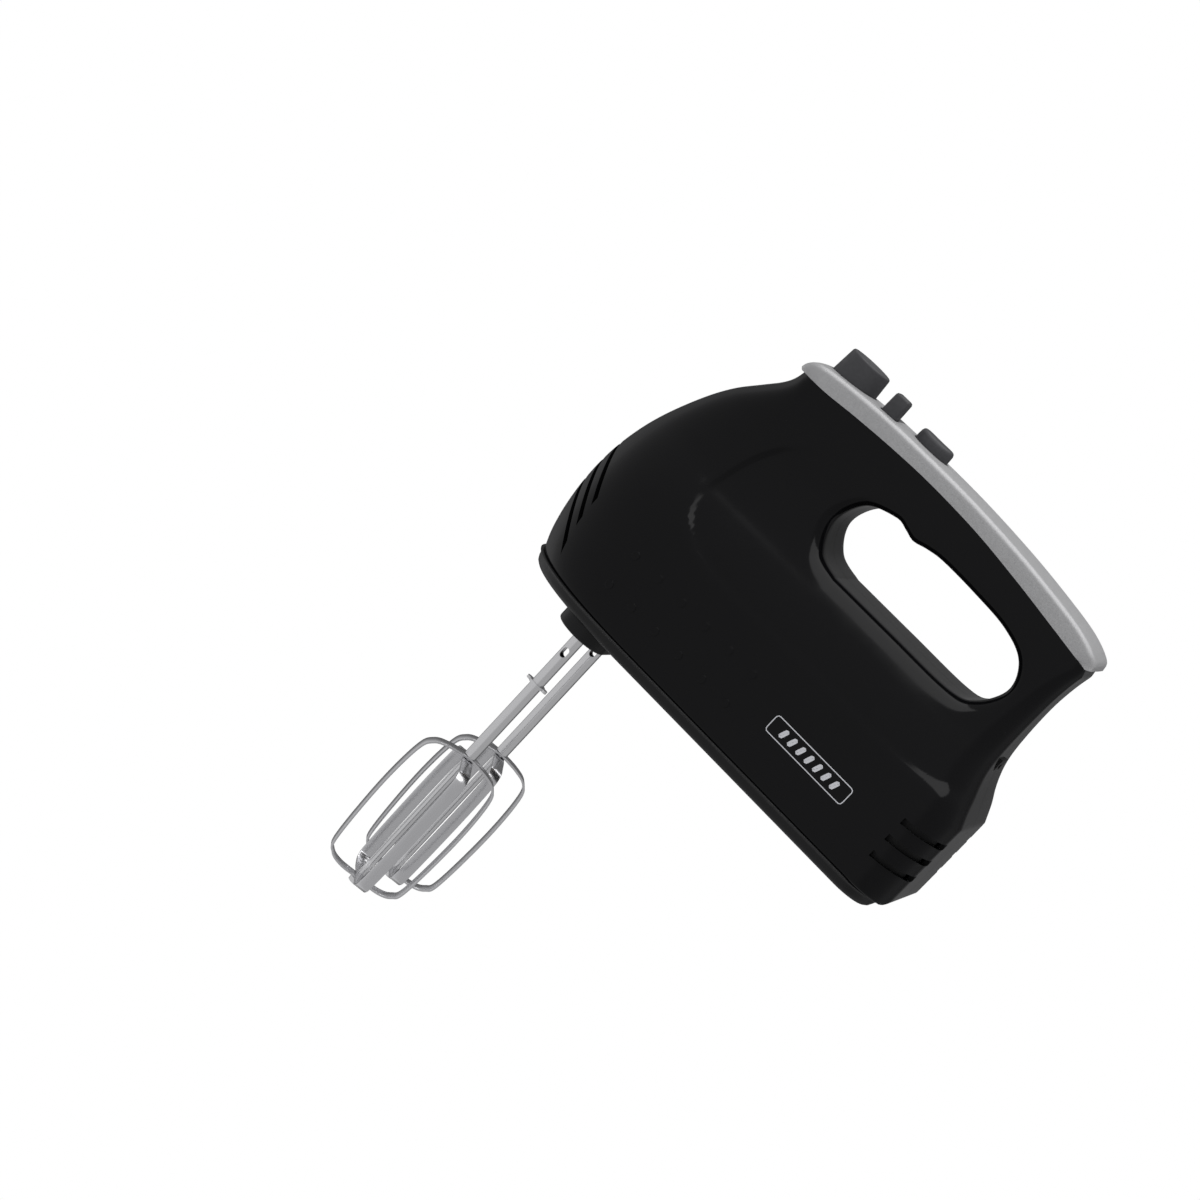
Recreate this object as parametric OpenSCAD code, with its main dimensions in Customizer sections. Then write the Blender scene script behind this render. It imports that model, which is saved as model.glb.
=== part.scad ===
// Hand mixer: clamshell housing, worm-driven twin beaters, eject, speed and turbo controls.
// Drawn in working axes (x from nose to heel, z up from the base cover, beaters down),
// then stood on the flat of its heel by stand(). Millimetres.

/* [Housing] */
// wall thickness of the two housing halves
wall = 2.5; // [2:0.1:3]
// half width of the body at the motor
half_w = 40; // [38:0.5:42]
// half width of the handle
grip_w = 17; // [16:0.5:18]

/* [Drive] */
// distance of each beater axis from the centre plane
axis_y = 19; // [19:0.5:19]
// teeth of each beater gear on the single-start worm
teeth = 24; // [24:2:24]
// height of the motor axis above the base cover
motor_z = 34; // [33:0.5:35]

/* [Beaters] */
// heading of the beater arms
arm_turn = 27; // [24:1:30]
// length of the cage below the shaft tube
cage_l = 70; // [64:1:72]
// outside radius of the cage
cage_r = 20.3; // [19:0.1:20.5]
// width of the cage strip
strip_w = 5.4; // [4:0.2:6]

/* [Controls] */
// radius of the eject button at the top cover
eject_r = 10.4; // [10:0.1:10.6]
// length of the slot for the speed slider, across the handle
slot_y = 22; // [21:0.5:23]

/* [View] */
// sub-part to show

/* [Hidden] */
heel_x = 187.5;      // heel rest plane
rest_z = 32;         // height of the middle of the rest face
bx = 25.4;           // beater axes along the body
ex = 33.3;           // eject button
sx = 53;             // speed slider
tx = 73.2;           // turbo button
boss_r = 11.8;       // half width of the beater socket boss
hub_z = -74;         // lower end of the beater tubes
cord_z = 70;         // height of the cord inlet
bore_z = -15.6;      // punched hole in each beater tube
collar_z = -34;      // locking collar on the left tube
$fn = 48;

black = [0.03, 0.03, 0.035]; grey = [0.3, 0.3, 0.32]; silver = [0.66, 0.66, 0.68];
steel = [0.75, 0.75, 0.77]; iron = [0.38, 0.38, 0.4]; copper = [0.72, 0.4, 0.2];
brass = [0.8, 0.65, 0.3]; white = [0.9, 0.9, 0.87]; tan = [0.7, 0.62, 0.45];

// ---------- outlines ----------
function cr(a, b, c, d, t) = 0.5 * (2 * b + (c - a) * t + (2 * a - 5 * b + 4 * c - d) * t * t
  + (3 * b - a - 3 * c + d) * t * t * t);
// smooth curve through the points k, n steps a span, last point left off
function spline(k, n) = let (e = len(k) - 1) [for (i = [0:e - 1]) for (j = [0:n - 1])
  cr(k[max(i - 1, 0)], k[i], k[i + 1], k[min(i + 2, e)], j / n)];
function rev(p) = [for (i = [len(p) - 1:-1:0]) p[i]];
function unit(v) = v / norm(v);
// counter-clockwise outline moved inwards by t
function inset(p, t) = let (n = len(p)) [for (i = [0:n - 1])
  let (a = unit(p[i] - p[(i + n - 1) % n]), b = unit(p[(i + 1) % n] - p[i]), m = unit(a + b))
  p[i] + t / max(0.4, m * a) * [-m[1], m[0]]];
function both(k) = concat(k, [for (p = rev(k)) if (p[1] > 0.01) [p[0], -p[1]]]);

seam = [[15.5, 130.5], [46, 133.4], [80, 134.2], [111, 134], [135, 131.7], [155, 129],
  [172, 126], [177.5, 124.2]];                                       // top cover's lower edge
rear = [[heel_x, 48], [183.6, 57], [179.8, 65.6], [177.6, 74], [176.6, 86], [176.4, 102],
  [177.2, 113], [178.4, 120.5]];
front = [[15.5, 130.5], [14.8, 124], [11.4, 116], [0.2, 103.4], [-10.6, 82], [-17.2, 59],
  [-19.2, 38], [-17.6, 22], [-12.4, 6]];
crown = [[179.8, 125.2], [178.6, 129.4], [168, 133.9], [150, 137], [126, 139.7], [95, 141.5],
  [60, 141.4], [40, 140], [24, 137.6], [17.3, 133.8], [15.5, 130.5]];
side = concat([front[8], [185.2, 6], [heel_x, 9.5]], spline(rear, 2), [rear[7]],
  spline(rev(seam), 2), spline(front, 2));
cap_side = concat(spline(seam, 2), [seam[7]], spline(crown, 2));
cap_void = concat([[19.5, 124], [176, 116], [176.8, 127]], spline([[168, 131.9], [150, 135],
  [126, 137.7], [95, 139.5], [60, 139.4], [40, 138], [26, 135.8], [19.5, 132.8]], 2),
  [[19.5, 132.8]]);
opening = rev(spline([[84, 81.3], [72.6, 85], [66.1, 97.3], [71.4, 110.4], [84, 115.6],
  [90, 114.6], [95, 113.1], [101, 114.6], [109, 115.7], [126, 115.4], [144, 114],
  [157, 109], [162.3, 98], [156.8, 86], [146, 81.6], [115, 81.3], [84, 81.3]], 2));
section_k = [[half_w - 2, 5], [half_w, 14], [half_w, 32], [half_w - 1, 46], [half_w - 4, 59],
  [half_w - 9, 71], [27, 82], [22, 94], [grip_w + 1.6, 106], [grip_w, 118], [grip_w, 145]];
nose_k = [[-20, 0], [-17.6, 13], [-8.6, 25], [5.4, 34], [24, half_w - 0.6], [48, half_w + 0.1]];
heel_k = [[150, half_w + 0.1], [166, half_w - 0.4], [178, 37], [184.8, 31.6], [heel_x, 24]];
plan = rev(both(concat(spline(nose_k, 2), spline(heel_k, 2), [heel_k[4]])));

module body_solid(t) {            // the whole body, moved inwards by t
  intersection() {
    rotate([90, 0, 0]) linear_extrude(90, center = true) polygon(inset(side, t));
    translate([-30, 0, 0]) rotate([90, 0, 90]) linear_extrude(230)
      polygon([for (p = concat(section_k, rev([for (q = section_k) [-q[0], q[1]]])))
        [p[0] - (p[0] > 0 ? t : -t), p[1]]]);
    translate([0, 0, -1]) linear_extrude(150) polygon(inset(plan, t));
  }
}
module along_x(x0, x1, r, z = motor_z, y = 0, r2 = undef)
  translate([x0, y, z]) rotate([0, 90, 0])
    cylinder(h = x1 - x0, r1 = r, r2 = r2 == undef ? r : r2);
module along_y(x, z, y0, y1, r) translate([x, y1, z]) rotate([90, 0, 0])
  cylinder(h = y1 - y0, r = r);
module up(x, y, z0, z1, r) translate([x, y, z0]) cylinder(h = z1 - z0, r = r);
module block(a, b) translate(a) cube(b - a);
// square bar along x round the cord inlet, h its half width
module square_x(x0, x1, h) block([x0, -h, cord_z - h], [x1, h, cord_z + h]);
module stadium(x, half, r, z0, z1) {       // long along x
  for (s = [-half, half]) up(x + s, 0, z0, z1, r);
  block([x - half, -r, z0], [x + half, r, z1]);
}
// wire of radius w wound in a helix; its flat section is a band as long as the wire is high
module coil(r, w, h, turns) linear_extrude(h, twist = -360 * turns, slices = 12 * turns, segments = 8)
  polygon([for (s = [1, -1], i = s > 0 ? [0:3] : [3:-1:0])
    let (a = (i / 3 - 0.5) * 720 * w * turns / h) (r + s * w) * [cos(a), sin(a)]]);
module stand() translate([-rest_z, 0, heel_x]) rotate([0, 90, 0]) children();

// ---------- housing ----------
clam_bosses = [[-2, 72, 4.5], [54, 92, 4.5], [169, 99, 4], [152, 68, 4.5]];
base_points = [[62, 32], [62, -32], [160, 31], [160, -31]];
module vents() {
  // three arched slots round the nose, dropping towards the sides, the lowest the longest
  for (i = [0:2]) translate([-20, 0, 49 - 7.6 * i]) rotate([0, 22 + 9 * i, 0])
    translate([0, 0, -1.2]) intersection() {
      block([-8, -21 - 2 * i, 0], [22, 21 + 2 * i, 2.4]);
      difference() { up(40, 0, 0, 2.4, 60); up(40, 0, -1, 4, 26); }
    }
  // three slots wrapped round each rear corner
  for (s = [-1, 1], i = [0:2]) translate([172, 0, 19 + 8.6 * i]) rotate([0, -4, 0])
    block([-1.5, s > 0 ? 22.6 : -50, 0], [28, s > 0 ? 50 : -22.6, 2.8]);
}
module shell() {
  difference() {
    body_solid(0);
    difference() {
      body_solid(wall);
      rotate([90, 0, 0]) linear_extrude(100, center = true) polygon(inset(opening, -wall));
      block([23, -20, 96], [44, 20, 98]);                    // seat of the eject spring
    }
    block([-30, -50, 5], [190, 50, 6]);
    rotate([90, 0, 0]) linear_extrude(100, center = true) polygon(opening);
    translate([0, 0, -3.2]) intersection() {                 // open underneath
      body_solid(wall);
      block([-30, -50, 0], [190, 50, 14]);
    }
    vents();
    up(ex, 0, 95, 99, 3.4);
    up(ex, 0, 125, 140, 12);
    block([51, -9.5, 125], [55, 9.5, 140]);
    stadium(tx, 2, 8.4, 120, 140);
    square_x(160, 190, 5.6);
  }
}
module half(s) {                  // s = -1 left, 1 right
  difference() {
    intersection() {
      union() {
        shell();
        intersection() {
          body_solid(0.5);
          union() {
            for (b = clam_bosses) along_y(b[0], b[1], -45, 45, b[2]);
            for (p = base_points) {
              up(p[0], p[1], 6, 22, 3.6);
              block([p[0] - 1.5, min(p[1], sign(p[1]) * 42), 6], [p[0] + 1.5, max(p[1], sign(p[1]) * 42), 22]);
            }
          }
        }
      }
      block([-40, s < 0 ? -60 : 0, 0], [200, s < 0 ? 0 : 60, 160]);
    }
    for (b = clam_bosses) {
      along_y(b[0], b[1], -9, 60, 1.5);
      along_y(b[0], b[1], 6, 60, 3.1);
    }
    for (p = base_points) up(p[0], p[1], 0, 18, 1.4);
  }
}
module left_housing() color(black) half(-1);
module right_housing() color(black) half(1);
module housing_screws() color(steel) for (b = clam_bosses) {
  along_y(b[0], b[1], -8, 6, 1.5);
  difference() {
    along_y(b[0], b[1], 6, 8, 2.9);
    for (a = [0, 90]) translate([b[0], 8, b[1]]) rotate([0, a, 0]) cube([3.4, 1.8, 0.8], center = true);
  }
}
module base_cover() color(black) {
  base = inset(plan, 0.3);
  difference() {
    union() {
      intersection() {
        linear_extrude(6) polygon(base);
        rotate([90, 0, 0]) linear_extrude(90, center = true)
          polygon([[-10, 0], [179, 0], [182.6, 2.5], [183.6, 6], [-13.4, 6], [-13, 2.5]]);
        translate([-30, 0, 0]) rotate([90, 0, 90]) linear_extrude(230)
          polygon([[half_w - 5, 0], [half_w - 2.2, 2.5], [half_w - 1.6, 6], [1.6 - half_w, 6],
            [2.2 - half_w, 2.5], [5 - half_w, 0]]);
      }
      for (s = [-1, 1]) up(bx, s * 20, -6.3, 1, boss_r);
      block([bx - boss_r, -20, -6.3], [bx + boss_r, 20, 1]);
      for (p = base_points) up(p[0], p[1], 1, 6, 4.4);
    }
    difference() {
      translate([0, 0, 2.5]) linear_extrude(5) polygon(inset(plan, 5.1));
      for (p = base_points) up(p[0], p[1], 1, 6, 4.4);
      for (s = [-1, 1]) up(bx, s * axis_y, 2, 6, 9);
    }
    for (s = [-1, 1]) up(bx, s * axis_y, -7, 8, 7);
    for (p = base_points) {
      up(p[0], p[1], -1, 7, 1.6);
      up(p[0], p[1], -1, 2, 3.1);
    }
  }
}
module base_screws() color(steel) for (p = base_points) {
  up(p[0], p[1], 2, 17, 1.4);
  difference() {
    up(p[0], p[1], 0.4, 2, 2.9);
    for (a = [0, 90]) translate([p[0], p[1], 0.4]) rotate(a) cube([3.4, 0.8, 1.6], center = true);
  }
}
module cap_solid(p, t) intersection() {    // side outline p, crown moved inwards by t
  rotate([90, 0, 0]) linear_extrude(60, center = true) polygon(p);
  rotate([90, 0, 90]) linear_extrude(200)
    polygon([for (s = [1, -1], k = s > 0 ? [0:7] : [7:-1:0])
      let (a = 90 * k / 7, x = grip_w - t) [s * (x - 3 + 3 * cos(a)), k == 0 ? 105 : 138.4 - t + 3.4 * sin(a)]]);
}
module top_cover() color(silver) difference() {
  cap_solid(cap_side, 0);
  cap_solid(cap_void, 2);
  up(ex, 0, 120, 150, eject_r + 0.4);
  block([sx - 4.1, -slot_y / 2, 120], [sx + 4.1, slot_y / 2, 150]);
  stadium(tx, 2, 6.8, 120, 150);
}

// ---------- gearbox ----------
module gearbox_frame() color(white) difference() {
  union() {
    block([2, -30, 19], [55, 30, 22]);
    block([4.5, -12, 22], [8.5, 12, 44]);
    block([50.5, -29, 22], [54.5, 29, 46]);
    for (x = [9, 51], y = [-26, 26]) up(x, y, 2.5, 19, 3);
  }
  for (s = [-1, 1]) up(bx, s * axis_y, 15, 25, 7);
  along_x(0, 60, 6);
  for (s = [-1, 1]) along_x(48, 60, 1.6, motor_z, s * 24.5);
}
module bush(x, y, z0, z1, ro, ri) difference() { up(x, y, z0, z1, ro); up(x, y, z0 - 1, z1 + 1, ri); }
module lower_bushes() color(tan) for (s = [-1, 1]) {
  bush(bx, s * axis_y, -5.5, 5, 7, 5.05);
}
module upper_bushes() color(tan) for (s = [-1, 1]) bush(bx, s * axis_y, 18.5, 24, 7, 5.05);
module ring_x(x0, x1, ro, ri) difference() { along_x(x0, x1, ro); along_x(x0 - 1, x1 + 1, ri); }
module nose_bearing() color(brass) ring_x(4, 9, 6, 2.55);
module front_bearing() color(brass) ring_x(50, 55, 6, 2.55);
module rear_bearing() color(brass) ring_x(121, 126, 6, 2.55);

pitch_r = axis_y - 4.5;
lead = 2 * PI * pitch_r / teeth;
function tooth(i) = let (s = 360 / (2 * PI * pitch_r), c = i * 360 / teeth)
  [for (q = [[13.2, -1.05], [pitch_r, -0.7], [15.6, -0.4], [15.6, 0.4], [pitch_r, 0.7],
    [13.2, 1.05]]) q[0] * [cos(c + q[1] * s), sin(c + q[1] * s)]];
module gear(y, phase) color(white) translate([bx, y, 0]) difference() {
  union() {
    translate([0, 0, 31]) rotate(phase) linear_extrude(6)
      polygon([for (i = [0:teeth - 1]) each tooth(i)]);
    cylinder(h = 31, r = 7.5);
  }
  translate([0, 0, -1]) cylinder(h = 50, r = 5);
  translate([0, 0, -1]) cylinder(h = 25.2, r = 9);
}
module spindle(y) color(steel) difference() {
  up(bx, y, -4, 40.5, 5);
  up(bx, y, -5, 42, 2.8);
}
// the worm's crest faces +y at the beater plane, so the right gear has a gap there
module left_gear() gear(-axis_y, 90);
module right_gear() gear(axis_y, -90 + 180 / teeth);
module left_spindle() spindle(-axis_y);
module right_spindle() spindle(axis_y);

// ---------- motor ----------
module stator_section() difference() {
  square([52, 54], center = true);
  difference() {
    square([42, 44], center = true);
    square([52, 19], center = true);
    difference() {
      circle(17.5);
      for (a = [0, 180]) rotate(a) polygon([[0, 0], [14, 22], [-14, 22]]);
    }
  }
  circle(15.2);
  for (s = [-1, 1]) translate([0, s * 24.5]) circle(1.6, $fn = 24);
  for (a = [45:90:359]) rotate(a) translate([37.4, 0]) square([8, 30], center = true);
}
module stator_core() color(iron) translate([66, 0, motor_z]) rotate([0, 90, 0])
  linear_extrude(32) stator_section();
module field_coils() color(copper) for (s = [-1, 1]) difference() {
  block([58.5, -18.5, motor_z + (s > 0 ? 15.4 : -20.7)], [105.5, 18.5, motor_z + (s > 0 ? 20.7 : -15.4)]);
  block([65.8, -9.7, motor_z - 25], [98.2, 9.7, motor_z + 25]);
}
module motor_screws() color(steel) for (s = [-1, 1]) {
  along_x(51, 126, 1.6, motor_z, s * 24.5);
  along_x(126, 128, 3, motor_z, s * 24.5);
}
module motor_rear_bracket() color(iron) difference() {
  union() {
    block([122, -28, motor_z - 8], [126, 28, motor_z + 8]);
    for (s = [-1, 1]) block([98, s > 0 ? 22.6 : -28, motor_z - 5], [122, s > 0 ? 28 : -22.6, motor_z + 5]);
  }
  along_x(110, 130, 6);
  for (s = [-1, 1]) along_x(90, 130, 1.6, motor_z, s * 24.5);
}
module brush_holders() color(brass) for (s = [-1, 1]) difference() {
  block([108.5, s > 0 ? 9.6 : -22.6, motor_z - 5], [117.5, s > 0 ? 22.6 : -9.6, motor_z + 5]);
  block([110.4, -22, motor_z - 3.1], [115.6, 22, motor_z + 3.1]);
}
module carbon_brushes() color([0.12, 0.12, 0.13]) for (s = [-1, 1])
  block([110.5, s > 0 ? 8.85 : -17, motor_z - 3], [115.5, s > 0 ? 17 : -8.85, motor_z + 3]);
module brush_springs() color(steel) for (s = [-1, 1])
  translate([113, s * 17, motor_z]) rotate([-90 * s, 0, 0]) coil(1.8, 0.35, 5, 4);
module motor_shaft() color(steel) along_x(3, 147, 2.5);
function thread(a) = let (s = abs(a - 360 * round(a / 360)) * lead / 360)
  s < 0.36 ? 5.6 : s < 0.86 ? 5.6 - 2.6 * (s - 0.36) / 0.5 : 3;
module worm() color(brass) translate([bx - 2.75 * lead, 0, motor_z]) rotate([90, 0, 90])
  difference() {
    // after the turn the section's x axis is +y, its y axis is +z
    rotate(-360 * 2.75) linear_extrude(5.5 * lead, twist = -360 * 5.5, slices = 99, segments = 13)
      polygon([for (a = [-78, -56, -33, 0, 33, 56, 78, 105, 135, 165, 195, 225, 255])
        thread(a) * [cos(a), sin(a)]]);
    translate([0, 0, -1]) cylinder(h = 6 * lead, r = 2.5);
  }
module armature_core() color(iron) difference() {
  along_x(66, 98, 14.5);
  along_x(60, 100, 2.5);
  for (a = [0:30:359]) translate([60, 0, motor_z]) rotate([a, 0, 0]) block([0, -1.1, 8], [40, 1.1, 16]);
}
module armature_winding() color(copper) {
  ring_x(59, 66, 12.6, 4);
  ring_x(98, 105, 12.6, 4);
  for (a = [0:30:359]) translate([66, 0, motor_z]) rotate([a, 0, 0]) block([0, -0.9, 8.3], [32, 0.9, 12.2]);
}
module commutator() color(copper) difference() {
  along_x(107, 118, 8.5);
  along_x(100, 120, 2.5);
  for (a = [15:30:359]) translate([100, 0, motor_z]) rotate([a, 0, 0]) block([0, -0.3, 7.4], [30, 0.3, 10]);
}
module cooling_fan() color(tan) difference() {
  union() {
    along_x(133, 144, 6);
    along_x(133, 134.6, 21);
    for (a = [0:36:359]) translate([134, 0, motor_z]) rotate([a, 0, 0]) block([0, -0.6, 5], [10, 0.6, 20.6]);
  }
  along_x(130, 150, 2.5);
}

// ---------- electrics ----------
module speed_switch() color(grey) difference() {
  block([46, -14, 117], [64.5, 14, 128.5]);
  block([51, -9.5, 125], [55, 9.5, 130]);
}
module turbo_switch() color(grey) {
  block([66.5, -8, 118.6], [81, 8, 126]);
}
module capacitor() color([0.75, 0.6, 0.15]) block([150, -11, 10], [168, 11, 21]);
module cord_gland() color(black) difference() {
  union() {
    square_x(166, 178.4, 5.5);
    along_x(170.6, 174.1, 8.5, cord_z);
  }
  along_x(160, 190, 3.25, cord_z);
}

// ---------- beaters ----------
module shaft(y) color(steel) difference() {
  up(bx, y, hub_z, 38, 2.75);
  up(bx, y, hub_z - 1, 36.5, 2.05);
  for (d = [-0.9, 0.9]) along_y(bx, bore_z + d, y - 5, y + 5, 1.4);
  block([bx - 1.4, y - 5, bore_z - 0.9], [bx + 1.4, y + 5, bore_z + 0.9]);
}
module rod(y) color(steel) {
  up(bx, y, hub_z - cage_l - 0.5, hub_z + 8.5, 1.75);
  up(bx, y, hub_z - cage_l - 2.5, hub_z - cage_l - 0.5, 2.8);
}
module loop(y, turn, d) color(steel) {     // d drops the top and lifts the bottom
  top = hub_z; low = top - cage_l;
  k = [[0, top - d], [9.4, top - 1.4 - d], [16, top - 4], [19.2, top - 10.5], [cage_r, top - 32],
    [cage_r - 1.4, low + 8.5], [16, low + 2.3], [9.6, low + d], [0, low + d]];
  right = spline(k, 3);
  o = concat([for (p = rev(right)) if (p[0] > 0.01) p], [[0, top - d]],
    [for (p = right) if (p[0] > 0.01) [-p[0], p[1]]], [[0, low + d]]);
  translate([bx, y, 0]) rotate(turn) difference() {
    rotate([90, 0, 0]) linear_extrude(strip_w, center = true) difference() {
      polygon(o);
      polygon(inset(o, 1));
    }
    translate([0, 0, -160]) cylinder(h = 110, r = 1.75);
  }
}
module left_shaft() shaft(-axis_y);
module left_rod() rod(-axis_y);
module left_outer_loop() loop(-axis_y, arm_turn, 0);
module left_inner_loop() loop(-axis_y, arm_turn + 90, 1.1);
module left_collar() color(steel) translate([bx, -axis_y, collar_z]) difference() {
  union() {
    cylinder(h = 1.2, r = 3.7);
    for (d = [-4.1, 4.1]) translate([d, 0, 0]) cylinder(h = 1.2, r = 1.3);
  }
  translate([0, 0, -1]) cylinder(h = 4, r = 2.75);
}
module right_shaft() shaft(axis_y);
module right_rod() rod(axis_y);
module right_outer_loop() loop(axis_y, arm_turn, 0);
module right_inner_loop() loop(axis_y, arm_turn + 90, 1.1);

// ---------- controls ----------
module eject_cap() color(grey) difference() {
  union() {
    up(ex, 0, 130.6, 139, eject_r);
    translate([ex, 0, 139]) cylinder(h = 11.4, r1 = eject_r, r2 = 8.8);
    up(ex, 0, 130.6, 132.6, 11.3);
  }
  translate([ex, 0, 179.4]) sphere(r = 30.6, $fn = 96);
}
module eject_yoke() color(white) {
  up(ex, 0, 54, 130.6, 3);
  up(ex, 0, 117, 120, 6);
  block([ex - 12, -22, 50], [ex + 3.5, 22, 54]);
  for (s = [-1, 1]) up(bx, s * axis_y, 38.3, 50, 2.3);
}
module eject_spring() color(steel) translate([ex, 0, 98]) coil(4.7, 0.5, 19, 6);
module turbo_spring() color(steel) translate([tx, 0, 126]) coil(3.6, 0.4, 8.6, 4);
module slider_tab() color(grey) translate([0, -6.8, 0]) difference() {
  union() {
    block([sx - 6.5, -6, 134.7], [sx + 6.5, 6, 136.6]);
    block([sx - 3.7, -4, 136.6], [sx + 3.7, 4, 150]);
    block([sx - 1.5, -1.5, 126], [sx + 1.5, 1.5, 134.7]);
  }
  along_y(sx, 158, -10, 10, 9);
}
module turbo_cap() color(grey) difference() {
  union() {
    stadium(tx, 2, 6.3, 134.6, 147);
    stadium(tx, 2, 7.6, 134.6, 136.6);
    up(tx, 0, 129, 135, 2);
  }
  along_y(tx, 179.4, -10, 10, 33.5);
}

stand() left_housing();
stand() right_housing();
stand() base_cover();
stand() top_cover();
stand() housing_screws();
stand() base_screws();
stand() gearbox_frame();
stand() lower_bushes();
stand() upper_bushes();
stand() nose_bearing();
stand() front_bearing();
stand() rear_bearing();
stand() stator_core();
stand() field_coils();
stand() motor_screws();
stand() motor_rear_bracket();
stand() brush_holders();
stand() carbon_brushes();
stand() brush_springs();
stand() speed_switch();
stand() turbo_switch();
stand() capacitor();
stand() cord_gland();
stand() eject_spring();
stand() turbo_spring();
stand() motor_shaft();
stand() worm();
stand() armature_core();
stand() armature_winding();
stand() commutator();
stand() cooling_fan();
stand() left_gear();
stand() left_spindle();
stand() right_gear();
stand() right_spindle();
stand() left_shaft();
stand() left_rod();
stand() left_outer_loop();
stand() left_inner_loop();
stand() left_collar();
stand() right_shaft();
stand() right_rod();
stand() right_outer_loop();
stand() right_inner_loop();
stand() eject_cap();
stand() eject_yoke();
stand() slider_tab();
stand() turbo_cap();
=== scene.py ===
"""Looks of the hand mixer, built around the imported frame.

Sizes are in millimetres in the mixer's working axes: x runs from the nose to the heel, y to the
mixer's right, z up from the base cover. place() turns them into the frame's metres, in which the
mixer stands on its heel.
"""
import math

import bmesh
import bpy
import numpy as np
from mathutils import Matrix, Vector


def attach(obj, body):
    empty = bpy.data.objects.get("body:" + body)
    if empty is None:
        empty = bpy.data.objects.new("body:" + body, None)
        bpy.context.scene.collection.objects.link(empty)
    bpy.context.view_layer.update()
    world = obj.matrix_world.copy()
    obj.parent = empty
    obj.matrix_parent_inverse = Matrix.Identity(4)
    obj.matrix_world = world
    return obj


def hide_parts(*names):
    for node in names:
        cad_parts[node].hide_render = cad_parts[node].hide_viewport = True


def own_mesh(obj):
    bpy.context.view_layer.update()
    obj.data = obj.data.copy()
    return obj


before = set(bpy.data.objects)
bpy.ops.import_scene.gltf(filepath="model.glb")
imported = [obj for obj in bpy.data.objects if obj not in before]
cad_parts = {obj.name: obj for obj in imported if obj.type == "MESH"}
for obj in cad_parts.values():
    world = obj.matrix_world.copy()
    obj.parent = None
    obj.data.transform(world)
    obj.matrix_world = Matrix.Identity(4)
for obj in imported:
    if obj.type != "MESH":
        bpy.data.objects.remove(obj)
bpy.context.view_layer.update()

# ---------- driving dimensions; the design's, unless the comment says otherwise ----------
HEEL_X = 187.5        # the heel plane that the mixer stands on
REST_Z = 32.0         # height of the middle of the rest face
WALL = 2.2            # thickness of the housing skins
HALF_W = 40.0         # half width of the body
GRIP_W = 17.0         # half width of the handle
BEATER_X = 25.4       # beater axes along the body
BEATER_Y = 19.0       # and either side of it
EJECT_X = 32.5        # the visible cap stands 0.8 mm nearer the nose than its yoke
SLIDER_X = 53.0
SLIDER_REST_Y = -6.8  # the speed tab rests at the left end of its travel
TURBO_X = 73.2
ARM_TURN = 27.0       # heading of the beater arms, in degrees
STRIP_W = 5.4         # width and thickness of the beater strips
STRIP_T = 1.0
CAGE_TOP = -74.0      # upper and lower end of the beater cages, and their radius
CAGE_LOW = -144.0
CAGE_R = 20.3
INNER_DROP = 1.1      # the inner strip lies this much inside the outer one at both ends
SEAM_GAP = 0.12       # half of the gap between the two housing halves
BASE_NOSE = -15.6     # ends of the base cover's bead
BASE_HEEL = 183.6
BASE_STEPS = 80       # points along each side of the base cover's plan
BOSS_R = 11.8         # half width of the beater socket boss
HEEL_CORNER = 16.0    # radius of the heel's corners in plan
NOSE_REACH = 66.0     # length of the rounded nose in plan
NOSE_POWER = 2.6      # 2 is an ellipse, more is blunter
SLOT_ROWS = 3         # vent slots at the nose, and at each heel corner
HEEL_SLOT_Z = 19.0    # height of the lowest heel slot
HEEL_SLOT_STEP = 8.6
HEEL_SLOT_RISE = math.radians(4)
STATIONS = 140        # sections along the top cover

# the top cover's lower edge, up to 1.6 mm under the design's
SEAM = [(15.5, 130.5), (30, 130.8), (46, 132.2), (66, 133.4), (86, 133.8), (111, 132.8),
        (135, 130.2), (155, 127.4), (172, 124.9), (177.5, 124.0)]
REAR = [(187.5, 48), (183.6, 57), (179.8, 65.6), (177.6, 74), (176.6, 86), (176.4, 102),
        (177.2, 113), (178.4, 120.5)]
# the rounded nose stands a little further forward than the design's flat one
FRONT = [(15.5, 130.5), (14.2, 125.5), (11.2, 120.5), (5.6, 114), (-2.0, 105), (-8.6, 94),
         (-15.3, 79), (-19.2, 66), (-21.4, 52), (-21.6, 38), (-20.2, 25), (-17.7, 14), (-14.6, 6)]
CROWN = [(15.5, 130.5), (15.7, 134.6), (22, 138.4), (40, 140.5), (60, 141.5), (95, 141.5),
         (126, 139.7), (150, 137), (168, 133.9), (178.8, 129.4), (179.9, 125.2)]
# the finger opening's edge, about 1 mm inside the design's
OPENING = [(84, 82.2), (73.2, 85.7), (67.1, 97.3), (72, 109.8), (84, 114.8), (90, 114),
           (95, 112.8), (101, 114.3), (109, 115.4), (126, 115.1), (144, 113.6), (156.4, 108.6),
           (161.6, 98), (156.2, 86.8), (146, 82.5), (115, 82.2), (84, 82.2)]
SECTION = [(38.4, 5), (39.5, 9), (40, 18), (40, 32), (39.3, 45), (37.4, 56), (34.2, 64),
           (30.4, 71), (26.8, 77), (24.4, 82), (21.4, 90), (19.2, 98), (17.9, 106),
           (17.1, 118), (17, 140)]


# ---------- curves ----------
def spline(points, steps=10):
    """Smooth curve through the points, as an array with steps samples a span."""
    p = np.asarray(points, float)
    out = []
    for i in range(len(p) - 1):
        a, b, c, d = p[max(i - 1, 0)], p[i], p[i + 1], p[min(i + 2, len(p) - 1)]
        for t in np.arange(steps) / steps:
            out.append(0.5 * (2 * b + (c - a) * t + (2 * a - 5 * b + 4 * c - d) * t * t
                              + (3 * b - a - 3 * c + d) * t ** 3))
    out.append(p[-1])
    return np.array(out)


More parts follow.
